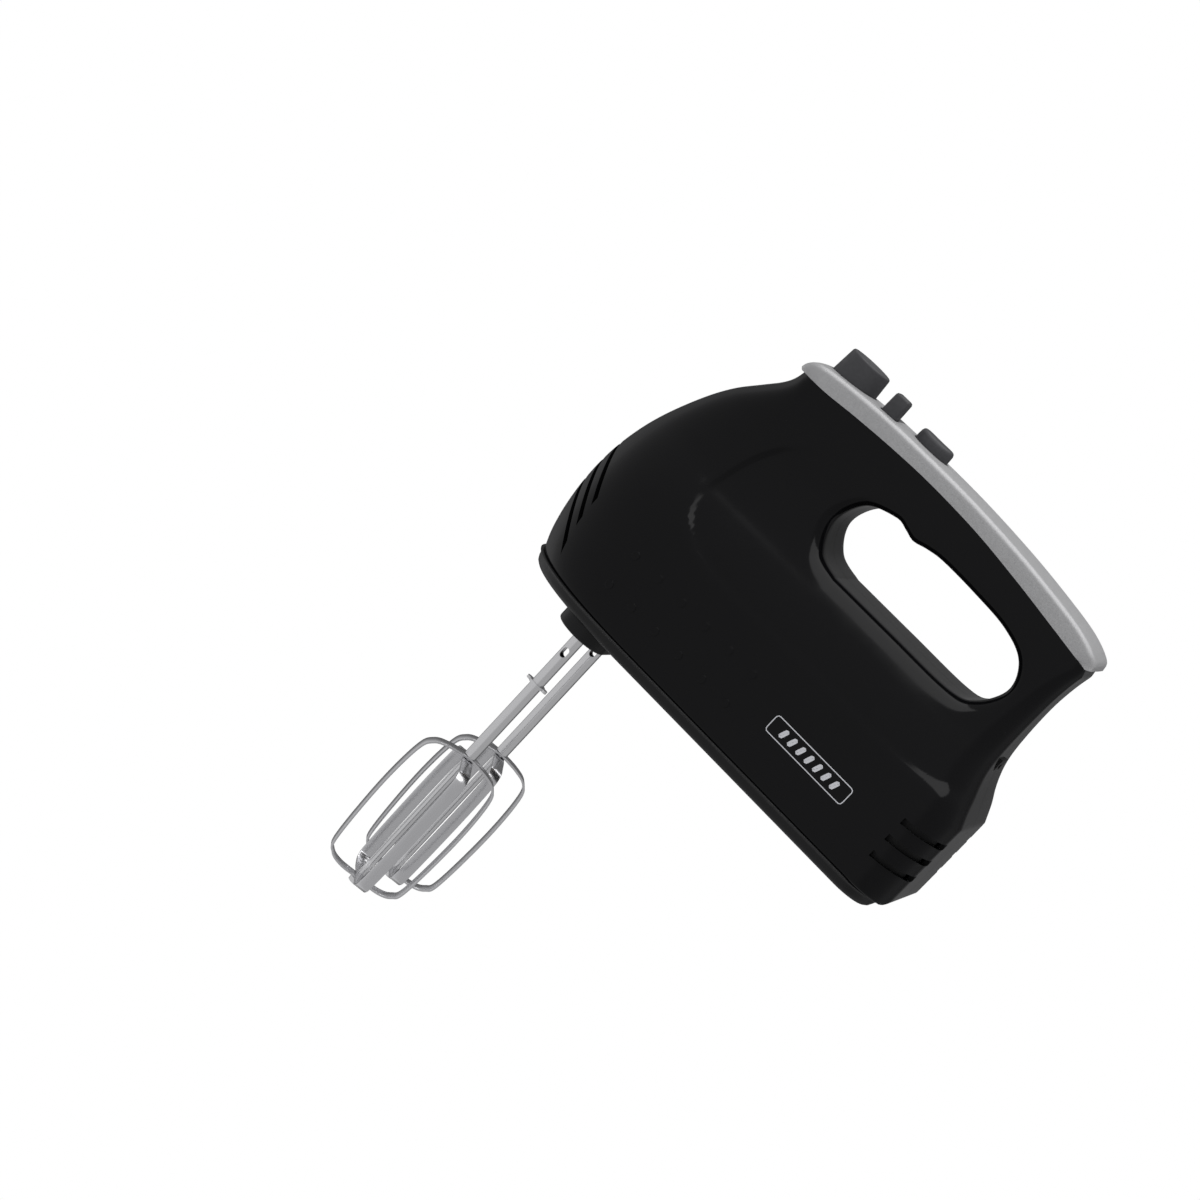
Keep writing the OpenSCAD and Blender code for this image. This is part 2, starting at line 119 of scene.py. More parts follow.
def resample(line, count):
    """count points at even distances along a polyline, both ends kept."""
    step = np.r_[0, np.cumsum(np.linalg.norm(np.diff(line, axis=0), axis=1))]
    where = np.linspace(0, step[-1], count)
    return np.column_stack([np.interp(where, step, line[:, k]) for k in range(line.shape[1])])


def smooth(t):
    """Eased step from 0 to 1."""
    t = np.clip(t, 0, 1)
    return t * t * (3 - 2 * t)


def quarter(t):
    """Height of a quarter circle of radius 1 at a distance t in from its foot."""
    return np.sqrt(np.clip(1 - (1 - np.clip(t, 0, 1)) ** 2, 0, 1))


FRONT_LINE = spline(FRONT)
REAR_LINE = spline(REAR)
SECTION_LINE = spline(SECTION)
CREASE = spline([(58, 121), (43, 114), (32.4, 105), (26, 93), (23, 80), (22.4, 70), (26, 61.5),
                 (35.5, 54.4), (50, 50.6), (75, 50.4), (105, 51.6), (135, 51.2), (160, 50.8),
                 (180, 53), (205, 60)], 8)


def crease_distance(x, z):
    """Distance in from the crease line round the scoop; negative outside it."""
    x, z = np.atleast_1d(x), np.atleast_1d(z)
    best = np.full(x.shape, 1e9)
    side = np.ones(x.shape)
    for a, b in zip(CREASE[:-1], CREASE[1:]):
        d = b - a
        t = np.clip(((x - a[0]) * d[0] + (z - a[1]) * d[1]) / (d @ d), 0, 1)
        px, pz = x - a[0] - t * d[0], z - a[1] - t * d[1]
        dist = np.hypot(px, pz)
        near = dist < best
        side = np.where(near, np.sign(d[0] * pz - d[1] * px), side)
        best = np.where(near, dist, best)
    return best * side


def half_width(x, z):
    """Half width of the closed body at a point of its side view."""
    x, z = np.asarray(x, float), np.asarray(z, float)
    w = np.interp(z, SECTION_LINE[:, 1], SECTION_LINE[:, 0])
    # the scoop round the handle opening, deepest over the heel
    inside = crease_distance(x, z).reshape(x.shape)
    heel = smooth((x - 135) / 40)
    nose = smooth((75 - x) / 40)
    fade = smooth((118 - z) / 22)
    depth = 1.0 + 0.6 * nose * fade + 1.7 * heel * smooth((92 - z) / 34)
    w = w - depth * smooth(inside / (3.7 + 4.3 * heel)) * np.clip(fade + 0.1, 0, 1)
    # the nose is round in plan, the heel has round corners
    nose_x = np.interp(z, FRONT_LINE[::-1, 1], FRONT_LINE[::-1, 0])
    reach = np.interp(z, [0, 50, 80, 104, 118, 126, 140],
                      [NOSE_REACH + 1, NOSE_REACH - 1, 54, 38, 20, 11, 9])
    inward = np.clip((x - nose_x) / reach, 0, 1)
    w = w * np.sqrt(1 - (1 - inward) ** NOSE_POWER)
    rear_x = np.where(z < REAR[0][1], HEEL_X, np.interp(z, REAR_LINE[:, 1], REAR_LINE[:, 0]))
    corner = np.interp(z, [48, 58, 80, 110, 124], [HEEL_CORNER, 15, 12, 8, 5])
    corner = np.maximum(np.minimum(corner, w), 0.01)
    w = w - corner * (1 - quarter((rear_x - x) / corner))
    # small round at the edge over the base cover
    edge = 0.9
    w = w - edge * (1 - quarter((z - 6) / edge))
    return np.maximum(w, SEAM_GAP)


# ---------- mesh building ----------
def place(points):
    """Working axes, in millimetres, to the frame's axes, in metres."""
    p = np.asarray(points, float).reshape(-1, 3)
    return np.column_stack([p[:, 2] - REST_Z, p[:, 1], HEEL_X - p[:, 0]]) / 1000.0


def add(name, verts, faces, sharp=35.0):
    """A mesh object from working-axes points; the faces are turned to point outwards."""
    mesh = bpy.data.meshes.new(name)
    mesh.from_pydata(place(verts).tolist(), [], [tuple(int(i) for i in f) for f in faces])
    bm = bmesh.new()
    bm.from_mesh(mesh)
    bmesh.ops.remove_doubles(bm, verts=bm.verts, dist=2e-5)
    bmesh.ops.dissolve_degenerate(bm, edges=bm.edges, dist=1e-6)
    bmesh.ops.recalc_face_normals(bm, faces=bm.faces)
    bm.to_mesh(mesh)
    bm.free()
    obj = bpy.data.objects.new(name, mesh)
    bpy.context.scene.collection.objects.link(obj)
    shade(obj, sharp)
    return obj


def shade(obj, sharp=35.0):
    """Smooth shading, with edges over sharp degrees kept hard."""
    mesh = obj.data
    mesh.polygons.foreach_set("use_smooth", [True] * len(mesh.polygons))
    mesh.set_sharp_from_angle(angle=math.radians(sharp))
    mesh.update()


def grid_faces(rows, cols, wrap_rows=False, wrap_cols=False):
    """Quads of a rows by cols grid of points."""
    r = np.arange(rows if wrap_rows else rows - 1)
    c = np.arange(cols if wrap_cols else cols - 1)
    a, b = np.meshgrid(r, c, indexing="ij")
    a2, b2 = (a + 1) % rows, (b + 1) % cols
    return np.stack([a * cols + b, a2 * cols + b, a2 * cols + b2, a * cols + b2],
                    axis=-1).reshape(-1, 4)


def apply_all(obj):
    """Replaces the object's mesh by the result of its modifiers."""
    bpy.context.view_layer.update()
    graph = bpy.context.evaluated_depsgraph_get()
    mesh = bpy.data.meshes.new_from_object(obj.evaluated_get(graph))
    old = obj.data
    obj.modifiers.clear()
    obj.data = mesh
    mesh.name = old.name
    bpy.data.meshes.remove(old)
    return obj


def cut(obj, cutters):
    """Boolean difference with a list of closed cutter objects, which are then removed."""
    for c in cutters:
        m = obj.modifiers.new("cut", "BOOLEAN")
        m.operation = "DIFFERENCE"
        m.solver = "EXACT"
        m.object = c
    apply_all(obj)
    for c in cutters:
        bpy.data.objects.remove(c)
    shade(obj)
    return obj


def lathe(name, profile, centre, steps=64, sharp=35.0):
    """Upright turned piece: profile is (radius, height) from bottom to top, closed on the axis."""
    p = np.asarray(profile, float)
    a = np.arange(steps) * 2 * math.pi / steps
    ring = np.stack([np.outer(p[:, 0], np.cos(a)), np.outer(p[:, 0], np.sin(a)),
                     np.repeat(p[:, 1:2], steps, axis=1)], axis=-1)
    verts = ring.reshape(-1, 3) + np.asarray(centre, float)
    return add(name, verts, grid_faces(len(p), steps, wrap_cols=True), sharp)


def rounded(profile, radius, steps=4):
    """Rounds the inner corners of an open profile of points."""
    p = [np.asarray(q, float) for q in profile]
    out = [p[0]]
    for a, b, c in zip(p[:-2], p[1:-1], p[2:]):
        la, lc = np.linalg.norm(a - b), np.linalg.norm(c - b)
        r = min(radius, 0.45 * la, 0.45 * lc)
        s, e = b + (a - b) * r / la, b + (c - b) * r / lc
        for i in range(steps + 1):
            t = i / steps
            out.append((1 - t) ** 2 * s + 2 * t * (1 - t) * b + t * t * e)
    out.append(p[-1])
    return out


def ring_of(outline, z):
    """A plan outline as points at height z."""
    return np.column_stack([outline, np.full(len(outline), z)])


def loft(name, rings, sharp=35.0):
    """Joins closed rings of equal length; the ends are closed with a face."""
    n = len(rings[0])
    verts = np.concatenate(rings)
    faces = [tuple(f) for f in grid_faces(len(rings), n, wrap_cols=True)]
    faces.append(tuple(range(n)))
    faces.append(tuple(range(len(verts) - n, len(verts))))
    return add(name, verts, faces, sharp)


def join(name, pieces):
    """One object from several that have no material yet."""
    bm = bmesh.new()
    for p in pieces:
        bm.from_mesh(p.data)
    mesh = bpy.data.meshes.new(name)
    bm.to_mesh(mesh)
    bm.free()
    for p in pieces:
        bpy.data.objects.remove(p)
    obj = bpy.data.objects.new(name, mesh)
    bpy.context.scene.collection.objects.link(obj)
    return obj


# ---------- materials ----------
class Shader:
    """A small wrapper round a Principled material's node tree."""

    COAT_ROUGH = 0.05

    def __init__(self, name, color, rough, metal=0.0, spec=0.5, coat=0.0):
        self.mat = bpy.data.materials.new(name)
        self.mat.use_nodes = True
        self.tree = self.mat.node_tree
        self.bsdf = self.tree.nodes["Principled BSDF"]
        self.bsdf.inputs["Base Color"].default_value = (*color, 1)
        self.bsdf.inputs["Roughness"].default_value = rough
        self.bsdf.inputs["Metallic"].default_value = metal
        self.bsdf.inputs["Specular IOR Level"].default_value = spec
        self.bsdf.inputs["Coat Weight"].default_value = coat
        self.bsdf.inputs["Coat Roughness"].default_value = self.COAT_ROUGH
        self.coord = self.tree.nodes.new("ShaderNodeTexCoord").outputs["Object"]

    def node(self, kind, inputs=None, **props):
        n = self.tree.nodes.new("ShaderNode" + kind)
        for k, v in props.items():
            setattr(n, k, v)
        for k, v in (inputs or {}).items():
            if isinstance(v, bpy.types.NodeSocket):
                self.tree.links.new(v, n.inputs[k])
            else:
                n.inputs[k].default_value = v
        return n

    def noise(self, scale, detail=3.0, stretch=(1, 1, 1)):
        at = self.node("Mapping", {"Vector": self.coord, "Scale": stretch}).outputs[0]
        return self.node("TexNoise", {"Vector": at, "Scale": scale,
                                      "Detail": detail}).outputs["Fac"]

    def ramp(self, value, low, high, a, b):
        """Maps value from low..high to a..b."""
        return self.node("MapRange", {"Value": value, "From Min": low, "From Max": high,
                                      "To Min": a, "To Max": b}).outputs[0]

    def tint(self, value, dark, light):
        """Base colour between dark and light, by value."""
        mix = self.node("Mix", data_type="RGBA")
        self.tree.links.new(value, mix.inputs["Factor"])
        mix.inputs[6].default_value = (*dark, 1)
        mix.inputs[7].default_value = (*light, 1)
        self.tree.links.new(mix.outputs[2], self.bsdf.inputs["Base Color"])
        return self

    def rough(self, value):
        self.tree.links.new(value, self.bsdf.inputs["Roughness"])
        return self

    def bump(self, height, strength, distance=0.0001):
        b = self.node("Bump", {"Height": height, "Strength": strength, "Distance": distance})
        self.tree.links.new(b.outputs[0], self.bsdf.inputs["Normal"])
        return self


def gloss_black():
    s = Shader("gloss_black", (0.003, 0.003, 0.0035), 0.12, spec=0.14)
    s.tint(s.noise(9, 2), (0.0028, 0.0028, 0.0032), (0.0036, 0.0036, 0.0041))
    s.rough(s.ramp(s.noise(60, 4), 0.3, 0.7, 0.085, 0.13))
    s.bump(s.noise(45, 2), 0.02, 0.0003)
    return s.mat


def vent_liner():
    s = Shader("vent_liner", (0.006, 0.006, 0.006), 0.6, spec=0.3)
    s.tint(s.noise(200, 3), (0.005, 0.005, 0.0052), (0.007, 0.007, 0.0074))
    s.rough(s.ramp(s.noise(90, 3), 0.3, 0.7, 0.5, 0.66))
    return s.mat


def satin_black():
    s = Shader("satin_black", (0.006, 0.006, 0.0065), 0.34, spec=0.22)
    s.tint(s.noise(300, 3), (0.005, 0.005, 0.0055), (0.0075, 0.0075, 0.008))
    s.rough(s.ramp(s.noise(800, 2), 0.3, 0.7, 0.28, 0.4))
    s.bump(s.noise(2500, 2), 0.12, 0.00005)
    return s.mat


def silver_paint():
    s = Shader("silver_paint", (0.5, 0.5, 0.505), 0.42, metal=0.25, spec=0.5)
    flake = s.noise(4200, 2)
    s.tint(s.ramp(flake, 0.3, 0.7, 0, 1), (0.27, 0.27, 0.275), (0.46, 0.46, 0.465))
    s.rough(s.ramp(flake, 0.3, 0.7, 0.36, 0.5))
    s.bump(flake, 0.22, 0.00004)
    return s.mat


def grey_rubber():
    s = Shader("control_grey", (0.04, 0.04, 0.043), 0.55, spec=0.35)
    s.tint(s.noise(700, 4), (0.034, 0.034, 0.037), (0.052, 0.052, 0.056))
    s.rough(s.ramp(s.noise(300, 3), 0.3, 0.7, 0.48, 0.62))
    s.bump(s.noise(3000, 3), 0.25, 0.00005)
    return s.mat


def steel(name, color, rough, stretch, grain=1500.0):
    """Drawn or rolled stainless steel; the grain runs along the axis least stretched."""
    s = Shader(name, color, rough, metal=1.0)
    g = s.noise(grain, 3, stretch)
    dark = tuple(0.93 * c for c in color)
    s.tint(g, dark, color)
    s.rough(s.ramp(g, 0.3, 0.7, rough * 0.9, rough * 1.15))
    s.bump(g, 0.01, 0.00003)
    return s.mat


def simple(name, color, rough, metal=0.0, grain=900.0, vary=0.18, bump=0.12):
    """Moulded or cast material with fine colour and roughness variation."""
    s = Shader(name, color, rough, metal=metal)
    g = s.noise(grain, 4)
    dark = tuple(c * (1 - vary) for c in color)
    light = tuple(min(1, c * (1 + vary)) for c in color)
    s.tint(g, dark, light)
    s.rough(s.ramp(g, 0.3, 0.7, rough * 0.8, min(1, rough * 1.2)))
    s.bump(s.noise(grain * 2.2, 3), bump, 0.00005)
    return s.mat


def laminated(name, color):
    """Stacked sheets across the motor's axis, which is the frame's z."""
    s = Shader(name, color, 0.45, metal=0.85)
    wave = s.node("TexWave", {"Vector": s.coord, "Scale": 320.0, "Distortion": 0.3},
                  bands_direction="Z").outputs["Fac"]
    s.tint(wave, tuple(0.55 * c for c in color), color)
    s.bump(wave, 0.4, 0.0001)
    return s.mat


def wound(name, color):
    """Enamelled wire, in strands along the frame's z."""
    s = Shader(name, color, 0.3, metal=0.8, coat=0.4)
    wave = s.node("TexWave", {"Vector": s.coord, "Scale": 420.0, "Distortion": 1.2},
                  bands_direction="X").outputs["Fac"]
    s.tint(wave, tuple(0.45 * c for c in color), color)
    s.bump(wave, 0.5, 0.00015)
    return s.mat


MAT = {
    "gloss_black": gloss_black(),
    "satin_black": satin_black(),
    "liner": vent_liner(),
    "silver": silver_paint(),
    "grey": grey_rubber(),
    "shaft": steel("drawn_steel", (0.76, 0.76, 0.77), 0.2, (0.04, 1, 1)),
    "strip": steel("rolled_steel", (0.72, 0.72, 0.735), 0.24, (0.05, 1, 1)),
    "zinc": steel("zinc_steel", (0.55, 0.56, 0.58), 0.3, (1, 1, 0.1)),
    "nylon": simple("white_nylon", (0.74, 0.73, 0.68), 0.45),
    "phenolic": simple("tan_phenolic", (0.42, 0.34, 0.22), 0.5),
    "bronze": simple("sintered_bronze", (0.5, 0.34, 0.18), 0.38, metal=0.9, grain=2600, bump=0.3),
    "brass": simple("machined_brass", (0.72, 0.54, 0.24), 0.26, metal=1.0, grain=500),
    "carbon": simple("pressed_carbon", (0.02, 0.02, 0.02), 0.6, grain=1800),
    "film": simple("capacitor_case", (0.62, 0.42, 0.06), 0.35),
    "switch": simple("switch_case", (0.05, 0.05, 0.055), 0.5),
    "iron": laminated("stacked_iron", (0.26, 0.26, 0.28)),
    "copper": wound("wound_copper", (0.72, 0.33, 0.14)),
    "print": simple("printed_mark", (0.62, 0.63, 0.66), 0.4, grain=1500, vary=0.05, bump=0.03),
}
NODE_MATERIAL = {
    "housing_screws": "zinc", "base_screws": "zinc", "gearbox_frame": "nylon",
    "lower_bushes": "bronze", "upper_bushes": "bronze", "nose_bearing": "bronze",
    "front_bearing": "bronze", "rear_bearing": "bronze", "stator_core": "iron",
    "field_coils": "copper", "motor_screws": "zinc", "motor_rear_bracket": "iron",
    "brush_holders": "brass", "carbon_brushes": "carbon", "brush_springs": "zinc",
    "speed_switch": "switch", "turbo_switch": "switch", "capacitor": "film",
    "cord_gland": "satin_black", "eject_spring": "zinc", "turbo_spring": "zinc",
    "motor_shaft": "zinc", "worm": "brass", "armature_core": "iron",
    "armature_winding": "copper", "commutator": "copper", "cooling_fan": "phenolic",
    "left_gear": "nylon", "right_gear": "nylon", "left_spindle": "shaft",
    "right_spindle": "shaft", "left_shaft": "shaft", "right_shaft": "shaft",
    "left_rod": "shaft", "right_rod": "shaft", "left_collar": "shaft",
    "eject_yoke": "nylon",
}
for node, key in NODE_MATERIAL.items():
    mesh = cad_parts[node].data
    mesh.materials.clear()
    mesh.materials.append(MAT[key])


def finish_piece(obj, key, body, nodes):
    """Material, body and replaced nodes of one piece."""
    obj.data.materials.clear()
    obj.data.materials.append(MAT[key])
    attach(obj, body)
    if nodes:
        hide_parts(*nodes)
    return obj


# ---------- housing ----------
def outline_points():
    """Side outline of the housing, anticlockwise from the nose's foot, evenly stepped."""
    foot = FRONT[-1]
    # each stretch with its number of steps
    parts = [
        (np.array([foot, (185.2, 6)], float), 100),
        (np.array([(185.2, 6), (186.4, 6.7), (187.2, 7.9), (HEEL_X, 9.5)], float), 6),
        (np.array([(HEEL_X, 9.5), REAR[0]], float), 24),
        (REAR_LINE, 50),
        (np.array([REAR[-1], SEAM[-1]], float), 4),
        (spline(SEAM)[::-1], 90),
        (FRONT_LINE, 110),
    ]
    return np.concatenate([resample(line, n + 1)[:-1] for line, n in parts])


def opening_target(points):
    """For each outline point, the point of the opening's edge that it is joined to."""
    edge = spline(OPENING, 12)[:-1]
    # the joining lines start from the opening's middle line, x from 85 to 144 at z = 98
    centre = np.column_stack([np.clip(points[:, 0], 85, 144), np.full(len(points), 98.0)])
    ray = points - centre
    out = np.zeros_like(points)
    following = np.roll(edge, -1, axis=0)
    for i, (c, d) in enumerate(zip(centre, ray)):
        e = following - edge
        den = d[0] * e[:, 1] - d[1] * e[:, 0]
        den = np.where(abs(den) < 1e-12, 1e-12, den)
        q = edge - c
        t = (q[:, 0] * e[:, 1] - q[:, 1] * e[:, 0]) / den
        s = (q[:, 0] * d[1] - q[:, 1] * d[0]) / den
        hit = (s >= -1e-9) & (s <= 1 + 1e-9) & (t > 0)
        out[i] = c + d * t[hit].min()
    return out


def housing_half(side):
    """One housing half, side = -1 left or 1 right, as an open skin made thick afterwards."""
    outer = outline_points()
    target = opening_target(outer)
    inward = target - outer
    length = np.linalg.norm(inward, axis=1, keepdims=True)
    inward = inward / length
    # the rim round the opening is broad below and in front, narrow under the grip
    rim = np.interp(target[:, 1], [81, 96, 113], [7.5, 6.0, 4.2])[:, None]
    rim_start = target - inward * rim
    ends, across, rim_steps, wall_steps = 5, 74, 9, 5
    rows = []
    w0 = half_width(outer[:, 0], outer[:, 1])
    for i in range(ends):
        y = SEAM_GAP + (w0 - SEAM_GAP) * i / ends
        rows.append(np.column_stack([outer[:, 0], y, outer[:, 1]]))
    for i in range(across + 1):
        q = outer + (rim_start - outer) * (i / across) ** 1.7
        rows.append(np.column_stack([q[:, 0], half_width(q[:, 0], q[:, 1]), q[:, 1]]))
    w1 = half_width(rim_start[:, 0], rim_start[:, 1])
    drop = np.minimum(rim[:, 0], w1 - 3)
    for i in range(1, rim_steps + 1):
        a = 0.5 * math.pi * i / rim_steps
        q = rim_start + inward * rim * math.sin(a)
        # the surface goes on falling as it did before the rim
        y = half_width(q[:, 0], q[:, 1]) * (1 - i / rim_steps) + w1 * (i / rim_steps)
        y = np.minimum(y, w1) - drop * (1 - math.cos(a))
        rows.append(np.column_stack([q[:, 0], y, q[:, 1]]))
    y_in = rows[-1][:, 1]
    for i in range(1, wall_steps + 1):
        y = y_in + (SEAM_GAP - y_in) * i / wall_steps
        rows.append(np.column_stack([target[:, 0], y, target[:, 1]]))
    verts = np.concatenate(rows)
    verts[:, 1] *= side
    name = "left_shell" if side < 0 else "right_shell"
    obj = add(name, verts, grid_faces(len(rows), len(outer), wrap_cols=True), 50)
    cut_slots(obj, side)
    thicken(obj, side)
    # room for the controls under the top cover
    low, high = 120, 145
    cut(obj, [
        lathe("hole", [(0, low), (12, low), (12, high), (0, high)], (EJECT_X, 0, 0), 48),
        bar("hole", (SLIDER_X - 2.2, -10, low), (SLIDER_X + 2.2, 10, high), 0.6),
        stadium("hole", TURBO_X, 2, 8.4, [(0, low), (0, high)]),
    ])
    shade(obj, 40)
    return obj


def in_frame(point):
    """One point of the working axes in the frame's axes."""
    return Vector(place([point])[0])


def direction(v):
    """Unit vector in the frame's axes from one in the working axes."""
    return Vector((v[2], v[1], -v[0])).normalized()


def slot_planes(side):
    """The vent slots, each as a list of planes: a point and an outward normal."""
    nose_half, nose_end_y, nose_end_x = 1.1, 28.5, 4
    heel_width, heel_start_x, heel_end_y = 2.8, 170.5, 22.6
    out = []
    for i in range(SLOT_ROWS):
        # the nose slots fall to the sides, the upper ones more steeply
        tilt = math.radians(55 - 2 * i)
        up = np.array((math.sin(tilt), 0, math.cos(tilt)))
        mid = np.array((-20, 0, (57.8, 47.6, 37.6)[i]))
        out.append([(mid + nose_half * up, up), (mid - nose_half * up, -up),
                    ((0, side * nose_end_y, mid[2]), (0, side, 0)),
                    ((nose_end_x, 0, mid[2]), (1, 0, 0))])
    up = np.array((-math.sin(HEEL_SLOT_RISE), 0, math.cos(HEEL_SLOT_RISE)))
    for i in range(SLOT_ROWS):
        low = np.array((172, 0, HEEL_SLOT_Z + HEEL_SLOT_STEP * i))
        out.append([(low + heel_width * up, up), (low, -up),
                    ((heel_start_x, 0, low[2]), (-1, 0, 0)),
                    ((0, side * heel_end_y, low[2]), (0, -side, 0))])
    return out


def cut_slots(obj, side):
    """Cuts the vent slots out of the skin, along their planes."""
    margin = 0.004
    bm = bmesh.new()
    bm.from_mesh(obj.data)
    for planes in slot_planes(side):
        planes = [(in_frame(p), direction(n)) for p, n in planes]
        near = [f for f in bm.faces
                if all((f.calc_center_median() - p).dot(n) < margin for p, n in planes)]
        for p, n in planes:
            near = [f for f in near if f.is_valid]
            geom = list({e for f in near for e in f.edges} | {v for f in near for v in f.verts})
            cut_geom = bmesh.ops.bisect_plane(bm, geom=near + geom, dist=1e-7,
                                              plane_co=p, plane_no=n)
            near = [g for g in cut_geom["geom"] if isinstance(g, bmesh.types.BMFace)]
        gone = [f for f in near if f.is_valid
                and all((f.calc_center_median() - p).dot(n) < 0 for p, n in planes)]
        bmesh.ops.delete(bm, geom=gone, context="FACES")
    bm.to_mesh(obj.data)
    bm.free()


def thicken(obj, side):
    """Gives the skin its wall, inwards, with crisp slot edges."""
    m = obj.modifiers.new("wall", "SOLIDIFY")
    m.thickness = WALL / 1000
    m.offset = -1
    m.use_even_offset = False
    m.use_rim = True
    apply_all(obj)
    # the wall may not cross the plane between the halves
    mesh = obj.data
    co = np.empty(len(mesh.vertices) * 3)
    mesh.vertices.foreach_get("co", co)
    co = co.reshape(-1, 3)
    co[:, 1] = side * np.maximum(side * co[:, 1], SEAM_GAP / 1000)
    mesh.vertices.foreach_set("co", co.ravel())
    shade(obj, 40)


def side_dimples(side):
    """Two rows of six low round marks on the flank, with a rounded edge and a hollow top."""
    profile = [(1.9, -0.04), (1.88, 0.08), (1.8, 0.18), (1.66, 0.24), (1.5, 0.25), (1.3, 0.2),
               (1.0, 0.13), (0.5, 0.08)]
    middle = 0.07
    first_x, pitch, count = 24, 13.2, 6
    rings = len(profile)
    steps = 24
    verts, faces = [], []
    for i in range(count):
        for z in (20.5, 36.0):
            x = first_x + pitch * i
            start = len(verts)
            for r, h in profile:
                for a in np.arange(steps) * 2 * math.pi / steps:
                    px, pz = x + r * math.cos(a), z + r * math.sin(a)
                    verts.append((px, side * (float(half_width(px, pz)) + h), pz))
            verts.append((x, side * (float(half_width(x, z)) + middle), z))
            for k in range(rings - 1):
                for s in range(steps):
                    s2 = (s + 1) % steps
                    a, b = start + k * steps, start + (k + 1) * steps
                    faces.append((a + s, a + s2, b + s2, b + s))
            last = start + (rings - 1) * steps
            for s in range(steps):
                faces.append((last + s, last + (s + 1) % steps, len(verts) - 1))
    return add("flank_dots_left" if side < 0 else "flank_dots_right", verts, faces, 60)


def plan_line(z, start, end, inset, count=40):
    """Plan curve of a flank at height z, from x = start to end, moved inwards by inset."""
    x = start + (end - start) * np.sin(np.linspace(0, math.pi / 2, count))
    y = half_width(x, np.full(count, z))
    ahead = np.gradient(np.column_stack([x, y]), axis=0)
    ahead /= np.linalg.norm(ahead, axis=1, keepdims=True)
    turn = 1 if end > start else -1
    return np.column_stack([x + turn * ahead[:, 1] * inset, y - turn * ahead[:, 0] * inset])


def make_louvre(side):
    """Dark baffles behind the vent slots of one side."""
    pieces = []
    for start, heights in ((164.0, np.linspace(12, 48, 13)), (6.0, np.linspace(15, 66, 18))):
        grids = []
        for inset in (WALL + 0.8, WALL + 1.6):
            rows = []
            for z in heights:
                limit = HEEL_X - 0.1
                if start < limit / 2:
                    limit = float(np.interp(z, FRONT_LINE[::-1, 1], FRONT_LINE[::-1, 0])) + 0.25
                line = plan_line(z, start, limit, inset)
                line[:, 1] = np.maximum(line[:, 1], 0.3)
                rows.append(np.column_stack([line[:, 0], side * line[:, 1], np.full(len(line), z)]))
            grids.append(rows)
        rows = grids[0] + grids[1][::-1]
        count = len(rows[0])
        faces = [tuple(f) for f in grid_faces(len(rows), count, wrap_rows=True)]
        for column in (0, count - 1):
            half = len(rows) // 2
            for r in range(half - 1):
                faces.append((r * count + column, (r + 1) * count + column,
                              (len(rows) - 2 - r) * count + column,
                              (len(rows) - 1 - r) * count + column))
        pieces.append(add("baffle", np.concatenate(rows), faces, 60))
    return join("vent_baffle_left" if side < 0 else "vent_baffle_right", pieces)


# ---------- base cover ----------
def base_outline(grow):
    """Plan outline of the base, both sides, moved outwards by grow."""
    t = np.linspace(0, 1, BASE_STEPS)
    first, last = BASE_NOSE - grow, BASE_HEEL + grow
    x = first + (last - first) * (1 - np.cos(math.pi * t)) / 2
    w = HALF_W - 1.6 + grow
    nose = np.sqrt(1 - (1 - np.clip((x - first) / NOSE_REACH, 0, 1)) ** NOSE_POWER)
    tail = HEEL_CORNER + grow
    heel = (w - tail) + tail * quarter((last - x) / tail)
    y = nose * heel
    y[0] = 0
    half = np.column_stack([x, y])
    other = half[::-1].copy()
    other[:, 1] *= -1
    return np.concatenate([half, [[x[-1], 0.0]], other[:-1]])


def make_base_cover():
    """Skirt with a raised bead, flat floor, oval socket boss with two sockets."""
    profile = [(-0.6, 6.1), (0.2, 5.95), (0.5, 5.5), (0.2, 5.05), (-0.4, 4.85), (-0.7, 4.2),
               (-1.1, 2.6), (-1.8, 1.2), (-2.9, 0.3), (-4.6, 0.0), (-9.0, 0.0)]
    rings = [ring_of(base_outline(g), z) for g, z in profile]
    body = loft("base_skirt", rings, 60)
    steps = 40
    end_y = BEATER_Y + 1
    a = np.linspace(-math.pi / 2, math.pi / 2, steps)

    def oval(r):
        """Plan of the boss with half width r."""
        right = np.column_stack([BEATER_X - r * np.sin(a), end_y + r * np.cos(a)])
        left = np.column_stack([BEATER_X + r * np.sin(a), -end_y - r * np.cos(a)])
        return np.concatenate([right, left])

    boss_profile = rounded([(BOSS_R, 0.6), (BOSS_R, -5.9), (BOSS_R - 2.8, -6.3), (7.4, -6.3)], 0.9)
    boss = loft("socket_boss", [ring_of(oval(r), z) for r, z in boss_profile], 50)
    holes = []
    for s in (-1, 1):
        holes.append(lathe("hole", [(0, -9), (7.05, -9), (7.05, 3), (0, 3)],
                           (BEATER_X, s * BEATER_Y, 0), 48))
    cut(boss, holes)
    return join("base_cover_skin", [body, boss])


